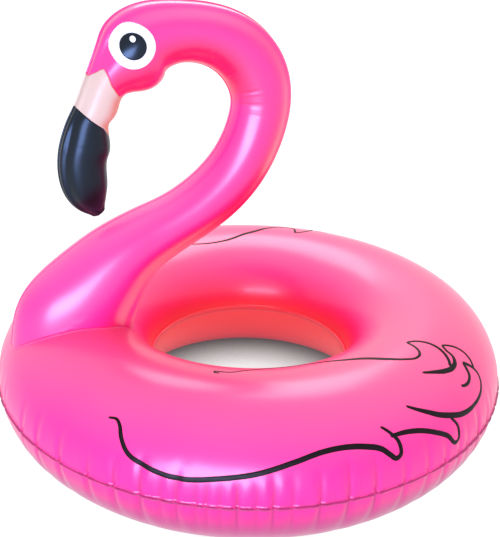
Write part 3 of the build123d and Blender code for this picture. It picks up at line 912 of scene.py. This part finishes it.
# Places (round the ring, over the tube), then widths in millimetres spread evenly along the stroke.
WING_STROKES = [
    ([(222.5, 44), (224.5, 44.5), (225.7, 41), (226.5, 36), (229, 26), (232.5, 21.5), (237, 18), (241, 17.5),
      (246.5, 20), (253.5, 24), (260.5, 30.5), (266, 35), (270, 35.7), (274.5, 33.5), (278, 29), (279.5, 24),
      (280.7, 20.5), (281.8, 22), (282.1, 27), (281.8, 32), (281, 36), (280, 40), (279, 43)],
     [4, 8, 9, 9.5, 10, 10, 10, 10, 10, 10, 10, 10.5, 11, 10, 8, 5]),
    ([(280.5, 35.5), (284.5, 34.5), (288, 31.5), (291.5, 26), (294.5, 19.5), (296.6, 11.5), (297.8, 12.5),
      (298.2, 17), (298.2, 22), (297.6, 26), (296.8, 29.5)], [7, 9, 10, 10, 10, 10, 8, 7, 6]),
    ([(287, 50), (289, 45.5), (291.5, 40.5), (294, 35.5), (297, 31), (300.5, 26.8), (304.5, 25), (308, 25.5),
      (311, 28), (313, 33), (313.7, 38), (313.5, 43), (312.6, 48), (311.6, 51), (311, 48), (310.3, 43.5),
      (308.7, 40.5), (306.5, 40.3), (305, 42)], [5, 8, 10.5, 11.5, 11.5, 11, 9.5, 8, 7, 6.5, 8, 9, 7.5, 6]),
    ([(312, 70.5), (313.5, 67), (314.8, 62), (315.4, 55), (315, 49), (313.6, 43)], [5, 6, 6.5, 6.5, 6.5]),
    ([(312, 70.5), (311, 66), (310.6, 60), (309.3, 56.5), (307, 55), (303.7, 57), (300.5, 61), (297.5, 65)],
     [6, 7, 10, 11, 11, 8, 5]),
    ([(243, 99.5), (241.6, 100), (241.3, 101.6), (243, 102.2), (246, 102.5), (250, 107.5), (256, 114),
      (263, 117.5), (270, 117.5), (277.5, 113.5), (283, 106), (288.5, 98), (293.5, 87.5), (297.5, 80),
      (300.5, 76.3), (302.8, 76.8), (304.3, 80), (305.2, 85), (305.8, 90), (307.2, 88.5), (308.7, 84.5),
      (309.8, 78), (309.9, 71), (309.2, 65), (308, 60), (306.6, 56.5)],
     [5, 4, 3.5, 3.5, 4, 4, 4.5, 5.5, 7, 8.5, 10, 9.5, 6.5, 5.5, 6, 6.5, 8, 8]),
]


def wing_ink():
    """Black ink, warmed a little towards pink in cloudy patches."""
    ink = Finish("wing_ink", IOR=1.5, Specular_IOR_Level=0.16, Coat_Roughness=0.25)
    worn = ink.noise(160.0, 4.0, 0.6)
    ink.feed("Base Color", ink.mix(worn, rgb(3, 0, 3), rgb(18, 2, 12)))
    ink.feed("Roughness", 0.34 + worn * 0.14)
    ink.bump(ink.noise(1500.0, 1.0), 0.06, 0.0003)
    return ink.material


wing_ink_finish = wing_ink()


def stroke_mesh(places, widths, side, first):
    """Points and faces of one inked ribbon."""
    outer = ring_radius + tube_width
    rough = [(math.radians(a) * outer, math.radians(o) * tube_width) for a, o in places]
    path = smooth_line(rough, 2.5 * MM)
    way = np.gradient(path, axis=0)
    way /= np.linalg.norm(way, axis=1)[:, None]
    across = np.stack([-way[:, 1], way[:, 0]], axis=1)
    share = np.linspace(0, 1, len(path))
    half = np.interp(share, np.linspace(0, 1, len(widths)), widths) * INK_SPREAD * MM / 2
    half *= np.sqrt(np.clip(np.minimum(share, 1 - share) * len(path) / 1.5 + 0.15, 0, 1))
    rows = []
    for offset, lift in ((-1, 0.1), (-0.8, 1), (0, 1.15), (0.8, 1), (1, 0.1), (0.9, -0.6), (-0.9, -0.6)):
        spot = path + across * (half * offset)[:, None]
        over = np.degrees(spot[:, 1] / tube_width)
        # A step round the ring is shorter where the ring is narrower.
        radius = ring_radius + tube_width * np.cos(path[:, 1] / tube_width)
        around = np.degrees((path[:, 0] + (spot[:, 0] - path[:, 0]) * outer / radius) / outer)
        rows.append(ring_point(-side * around, over, lift * INK_LIFT))
    points = np.stack(rows, axis=1).reshape(-1, 3)
    count = len(rows)
    faces = [(*(first + i for i in face),) for face in grid_faces(len(path), count, True, flip=side < 0)]
    last = first + (len(path) - 1) * count
    ends = tuple(range(first, first + count)), tuple(range(last, last + count))
    faces += [ends[0] if side < 0 else ends[0][::-1], ends[1][::-1] if side < 0 else ends[1]]
    return points, faces


def right_places(places):
    """A stroke's places on the right print, still counted as on the left side."""
    moved = []
    for around, over in places:
        share = (RIGHT_SHIFT_NONE - around) / (RIGHT_SHIFT_NONE - RIGHT_SHIFT_FULL)
        share = min(1, max(0, share))
        outward = RIGHT_SET_OUT * share if over > INNER_LINE_OVER else 0
        moved.append((around + RIGHT_SET_BACK * share, over - outward))
    return moved


# %% Both wings
for side, word in ((-1, "left"), (1, "right")):
    points, faces = [], []
    for places, widths in WING_STROKES:
        if side > 0:
            places = right_places(places)
        new_points, new_faces = stroke_mesh(places, widths, side, sum(len(p) for p in points))
        points.append(new_points)
        faces += new_faces
    points = np.concatenate(points)
    clear = distance_to_line(points, ring_valve_place, ring_valve_axis)
    faces = [face for face in faces if clear[list(face)].min() > VALVE_FLANGE - UNDER_FLANGE]
    add_piece(f"wing_print_{word}", *used_points(points, faces), wing_ink_finish, "black_vinyl")

# %% [markdown]
# ## Valve finishes
# The valves keep their CAD shapes, because they are hard, turned parts.  What they need is the
# right plastics: milky see-through vinyl for the welded flanges and the small stem, firm white
# plastic for the screw body and cap, and dull rubber for the seals.

# %% Finishes of the carried-over nodes
def clear_vinyl():
    """Milky see-through vinyl."""
    film = Finish("clear_vinyl", IOR=1.5, Transmission_Weight=0.35, Coat_Weight=0.3, Coat_Roughness=0.1)
    haze = film.noise(40.0, 3.0)
    film.feed("Base Color", film.mix(haze, rgb(222, 218, 222), rgb(206, 202, 209)))
    film.feed("Roughness", 0.28 + haze * 0.12)
    film.bump(film.noise(900.0, 2.0), 0.1, 0.0003)
    return film.material


valve_plastic = smooth_film("valve_plastic", rgb(214, 214, 216), rgb(202, 203, 207), 0.3, 0.1, 30.0)
valve_rubber = smooth_film("valve_rubber", rgb(188, 188, 191), rgb(170, 170, 174), 0.55, 0.0, 60.0)
finish_of_slot = {"clear_vinyl": clear_vinyl(), "valve_plastic": valve_plastic, "valve_rubber": valve_rubber}
VALVE_NODES = {
    "ring_valve_base": "clear_vinyl", "ring_valve_seal": "valve_rubber", "ring_valve_body": "valve_plastic",
    "ring_valve_flap": "valve_rubber", "ring_valve_strap": "valve_plastic", "ring_valve_cap": "valve_plastic",
    "neck_valve_base": "clear_vinyl", "neck_valve_stem": "clear_vinyl", "neck_valve_flap": "valve_rubber",
    "neck_valve_plug": "clear_vinyl",
}
for node, slot in VALVE_NODES.items():
    piece = frame["nodes"][node]
    piece.data.materials.clear()
    piece.data.materials.append(finish_of_slot[slot])
print("valve nodes with finishes", len(VALVE_NODES))

# %% [markdown]
# ## Floor, light and camera
# The float stands in a bright white studio: a large warm light high behind it, and a wide cool
# light low in front, whose soft reflection draws the lilac band along the ring and the neck.
# The floor is plain and white.  Only under the ring and in its hole does ambient occlusion darken
# it, where a lit floor would lie in the float's shade.
# The world itself is white, so that the film has something pale to reflect at its edges.

# %% Floor
SHADE_REACH = 0.45  # how far away something can still darken the floor
SHADE_POWER, SHADE_LIFT = 1.37, 2.9
WHITE_FROM, WHITE_FULL = ring_radius - 10 * MM, ring_radius + 120 * MM
floor_finish = Finish("pale_floor", Roughness=0.6, Specular_IOR_Level=0.1, Emission_Strength=1.0)
grain = floor_finish.noise(3.0, 2.0)
floor_finish.feed("Base Color", floor_finish.mix(grain, (0.1, 0.1, 0.1), (0.09, 0.09, 0.09)))
open_air = floor_finish.node("ShaderNodeAmbientOcclusion", {"samples": 12},
                             {"Distance": SHADE_REACH}, output=1)
from_middle = floor_finish.node("ShaderNodeVectorMath", {"operation": "LENGTH"},
                                {0: floor_finish.node("ShaderNodeTexCoord", output=3)}, output=1)
outside = floor_finish.ramp(from_middle, WHITE_FROM, WHITE_FULL)
lit = (open_air.power(SHADE_POWER) * SHADE_LIFT + outside).clamp()
floor_finish.feed("Emission Color", floor_finish.mix(lit, (0.03, 0.03, 0.03), (1.0, 1.0, 1.0)))
FLOOR_HALF = 12.0
FLOOR_CORNERS = [(-1, -1), (1, -1), (1, 1), (-1, 1)]
floor_mesh = bpy.data.meshes.new("pale_floor")
floor_points = [(x * FLOOR_HALF, y * FLOOR_HALF, -0.5 * MM) for x, y in FLOOR_CORNERS]
floor_mesh.from_pydata(floor_points, [], [(0, 1, 2, 3)])
floor = bpy.data.objects.new("pale_floor", floor_mesh)
bpy.context.scene.collection.objects.link(floor)
floor_mesh.materials.append(floor_finish.material)

# %% World and soft boxes
world = bpy.data.worlds.new("white_studio")
bpy.context.scene.world = world
world.use_nodes = True
world.node_tree.nodes["Background"].inputs["Color"].default_value = (1, 1, 1, 1)
world.node_tree.nodes["Background"].inputs["Strength"].default_value = 1.0
bpy.context.scene.view_settings.view_transform = "Standard"

ring_middle = Vector((0, 0, weld_height))


def direction_from(azimuth, elevation):
    """Direction from the object: azimuth 0 is -Y, and 90 is +X."""
    a, e = math.radians(azimuth), math.radians(elevation)
    return Vector((math.sin(a) * math.cos(e), -math.cos(a) * math.cos(e), math.sin(e)))


def soft_box(name, azimuth, elevation, distance, width, height, watts, colour):
    """A soft rectangular light that looks at the ring's middle."""
    light = bpy.data.lights.new(name, "AREA")
    light.shape = "RECTANGLE"
    light.size, light.size_y = width, height
    light.energy, light.color = watts, colour
    box = bpy.data.objects.new(name, light)
    bpy.context.scene.collection.objects.link(box)
    toward = direction_from(azimuth, elevation)
    box.location = ring_middle + toward * distance
    box.rotation_euler = (-toward).to_track_quat("-Z", "Y").to_euler()
    print(name, [round(c, 2) for c in box.location])


soft_box("back_box", azimuth=160, elevation=55, distance=3.2, width=2.2, height=1.6, watts=66,
         colour=(1.0, 0.82, 0.9))
soft_box("front_box", azimuth=-31, elevation=9, distance=3.4, width=2.4, height=1.1, watts=155,
         colour=(0.52, 0.62, 1.0))

# %% Camera
CAMERA_AZIMUTH, CAMERA_ELEVATION = -18.5, 29.03
CAMERA_DISTANCE = 2.112
AIM_YAW, AIM_UP, AIM_ROLL = 0.04, 5.56, -1.27
back = direction_from(CAMERA_AZIMUTH, CAMERA_ELEVATION)
forward = -back
right = forward.cross(Vector((0, 0, 1))).normalized()
up = right.cross(forward)
for axis_name, angle in (("up", AIM_YAW), ("right", AIM_UP), ("forward", AIM_ROLL)):
    axis = {"up": up, "right": right, "forward": forward}[axis_name]
    turn = Matrix.Rotation(math.radians(angle), 3, axis)
    forward, right, up = turn @ forward, turn @ right, turn @ up
camera_data = bpy.data.cameras.new("camera")
camera_data.sensor_width = 36
camera_data.lens = 56.38
camera = bpy.data.objects.new("camera", camera_data)
bpy.context.scene.collection.objects.link(camera)
camera.matrix_world = Matrix.Translation(ring_middle + back * CAMERA_DISTANCE) @ Matrix(
    (right, up, -forward)).transposed().to_4x4()
bpy.context.scene.camera = camera
print("camera", [round(c, 3) for c in camera.location])
